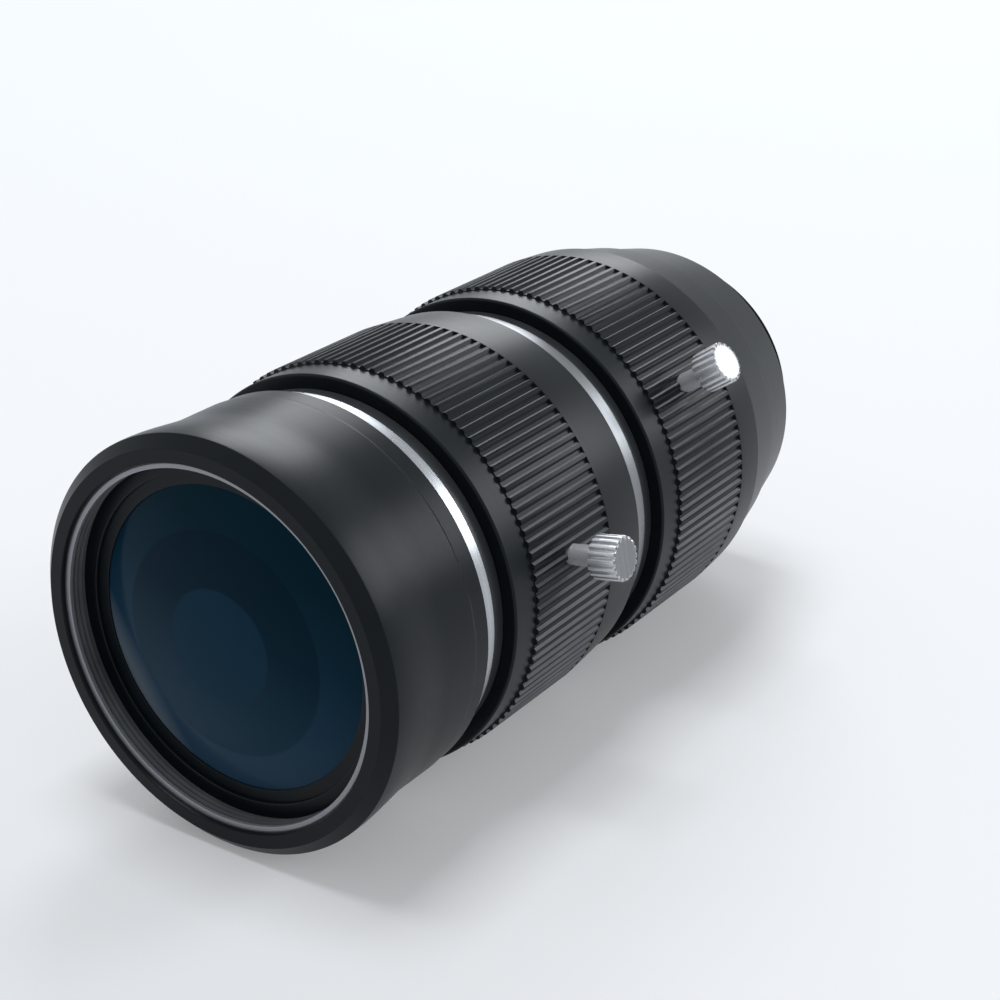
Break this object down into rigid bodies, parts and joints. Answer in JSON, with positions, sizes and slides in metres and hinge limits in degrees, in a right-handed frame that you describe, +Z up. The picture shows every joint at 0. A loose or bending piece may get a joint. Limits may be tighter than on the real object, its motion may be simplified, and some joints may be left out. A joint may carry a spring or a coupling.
{
  "type": "fixed focal length lens",
  "caption": "Fixed focal length camera lens with a screw mount, a coated front element in a flared barrel, knurled focus and iris rings, and thumb-screws that lock them.",
  "frame": {"origin": "centre of the rear flange face, on the optical axis", "axes": "+Y along the optical axis towards the camera, +Z up with the lens level, +X to the right seen from the front"},
  "size_m": [0.041, 0.074, 0.036],
  "materials": {
    "black_anodised": "satin black anodised",
    "bright_metal": "bright turned",
    "grey_metal": "matt grey",
    "screw_steel": "nickel plated",
    "brass": "turned",
    "blade_steel": "blackened",
    "coated_glass": "blue-green coated",
    "inner_glass": "clear polished"
  },
  "bodies": {
    "mount": {"mount_barrel": "black_anodised", "main_body": "black_anodised", "focus_retaining_ring": "bright_metal", "focus_washer": "grey_metal", "iris_retaining_ring": "bright_metal", "iris_washer": "grey_metal"},
    "optical_unit": {"front_barrel": "black_anodised", "front_trim_ring": "bright_metal", "front_retaining_ring": "black_anodised", "front_element": "coated_glass", "front_cell": "black_anodised", "front_cell_ring": "black_anodised", "front_pair_crown": "inner_glass", "front_pair_flint": "inner_glass", "optical_sleeve": "black_anodised", "focus_drive_pins": "brass", "iris_housing": "black_anodised", "iris_cap": "black_anodised", "rear_cell": "black_anodised", "rear_pair_flint": "inner_glass", "rear_pair_crown": "inner_glass", "rear_spacer": "black_anodised", "rear_element": "coated_glass", "rear_retaining_ring": "black_anodised"},
    "focus_ring": {"focus_ring": "black_anodised"},
    "iris_ring": {"iris_ring": "black_anodised"},
    "iris_cam": {"iris_cam": "black_anodised", "iris_drive_pin": "screw_steel"},
    "focus_screw": {"focus_thumb_screw": "screw_steel"},
    "iris_screw": {"iris_thumb_screw": "screw_steel"},
    "blade_1": {"iris_blade_1": "blade_steel"},
    "blade_2": {"iris_blade_2": "blade_steel"},
    "blade_3": {"iris_blade_3": "blade_steel"},
    "blade_4": {"iris_blade_4": "blade_steel"},
    "blade_5": {"iris_blade_5": "blade_steel"},
    "blade_6": {"iris_blade_6": "blade_steel"},
    "blade_7": {"iris_blade_7": "blade_steel"},
    "blade_8": {"iris_blade_8": "blade_steel"},
    "blade_9": {"iris_blade_9": "blade_steel"}
  },
  "joints": [
    {"name": "focus_turn", "type": "hinge", "parent": "mount", "child": "focus_ring", "pos_m": [0, -0.0432, 0], "axis": [0, 1, 0], "range_deg": [0, 200]},
    {"name": "focus_travel", "type": "slide", "parent": "mount", "child": "optical_unit", "axis": [0, -1, 0], "range_m": [0, 0.005]},
    {"name": "iris_turn", "type": "hinge", "parent": "mount", "child": "iris_ring", "pos_m": [0, -0.0205, 0], "axis": [0, -1, 0], "range_deg": [0, 60]},
    {"name": "iris_cam_turn", "type": "hinge", "parent": "optical_unit", "child": "iris_cam", "pos_m": [0, -0.0188, 0], "axis": [0, -1, 0], "range_deg": [0, 60]},
    {"name": "blade_1_swing", "type": "hinge", "parent": "optical_unit", "child": "blade_1", "pos_m": [0.01195, -0.0161, 0], "axis": [0, -1, 0], "range_deg": [0, 30]},
    {"name": "blade_2_swing", "type": "hinge", "parent": "optical_unit", "child": "blade_2", "pos_m": [0.00915, -0.0161, 0.00768], "axis": [0, -1, 0], "range_deg": [0, 30]},
    {"name": "blade_3_swing", "type": "hinge", "parent": "optical_unit", "child": "blade_3", "pos_m": [0.00208, -0.0161, 0.01177], "axis": [0, -1, 0], "range_deg": [0, 30]},
    {"name": "blade_4_swing", "type": "hinge", "parent": "optical_unit", "child": "blade_4", "pos_m": [-0.00598, -0.0161, 0.01035], "axis": [0, -1, 0], "range_deg": [0, 30]},
    {"name": "blade_5_swing", "type": "hinge", "parent": "optical_unit", "child": "blade_5", "pos_m": [-0.01123, -0.0161, 0.00409], "axis": [0, -1, 0], "range_deg": [0, 30]},
    {"name": "blade_6_swing", "type": "hinge", "parent": "optical_unit", "child": "blade_6", "pos_m": [-0.01123, -0.0161, -0.00409], "axis": [0, -1, 0], "range_deg": [0, 30]},
    {"name": "blade_7_swing", "type": "hinge", "parent": "optical_unit", "child": "blade_7", "pos_m": [-0.00598, -0.0161, -0.01035], "axis": [0, -1, 0], "range_deg": [0, 30]},
    {"name": "blade_8_swing", "type": "hinge", "parent": "optical_unit", "child": "blade_8", "pos_m": [0.00208, -0.0161, -0.01177], "axis": [0, -1, 0], "range_deg": [0, 30]},
    {"name": "blade_9_swing", "type": "hinge", "parent": "optical_unit", "child": "blade_9", "pos_m": [0.00915, -0.0161, -0.00768], "axis": [0, -1, 0], "range_deg": [0, 30]},
    {"name": "focus_screw_turn", "type": "hinge", "parent": "focus_ring", "child": "focus_screw", "pos_m": [0.0177, -0.0445, 0.00325], "axis": [0.9836, 0, 0.1805], "range_deg": [0, 360]},
    {"name": "iris_screw_turn", "type": "hinge", "parent": "iris_ring", "child": "iris_screw", "pos_m": [0.01473, -0.02105, 0.01035], "axis": [0.8181, 0, 0.575], "range_deg": [0, 360]}
  ],
  "couplings": [
    {"joint": "focus_turn", "follows": "focus_travel", "rad_per_m": 698.13},
    {"joint": "iris_cam_turn", "follows": "iris_turn", "ratio": 1},
    {"joint": "blade_1_swing", "follows": "iris_turn", "ratio": 0.5},
    {"joint": "blade_2_swing", "follows": "iris_turn", "ratio": 0.5},
    {"joint": "blade_3_swing", "follows": "iris_turn", "ratio": 0.5},
    {"joint": "blade_4_swing", "follows": "iris_turn", "ratio": 0.5},
    {"joint": "blade_5_swing", "follows": "iris_turn", "ratio": 0.5},
    {"joint": "blade_6_swing", "follows": "iris_turn", "ratio": 0.5},
    {"joint": "blade_7_swing", "follows": "iris_turn", "ratio": 0.5},
    {"joint": "blade_8_swing", "follows": "iris_turn", "ratio": 0.5},
    {"joint": "blade_9_swing", "follows": "iris_turn", "ratio": 0.5}
  ]
}
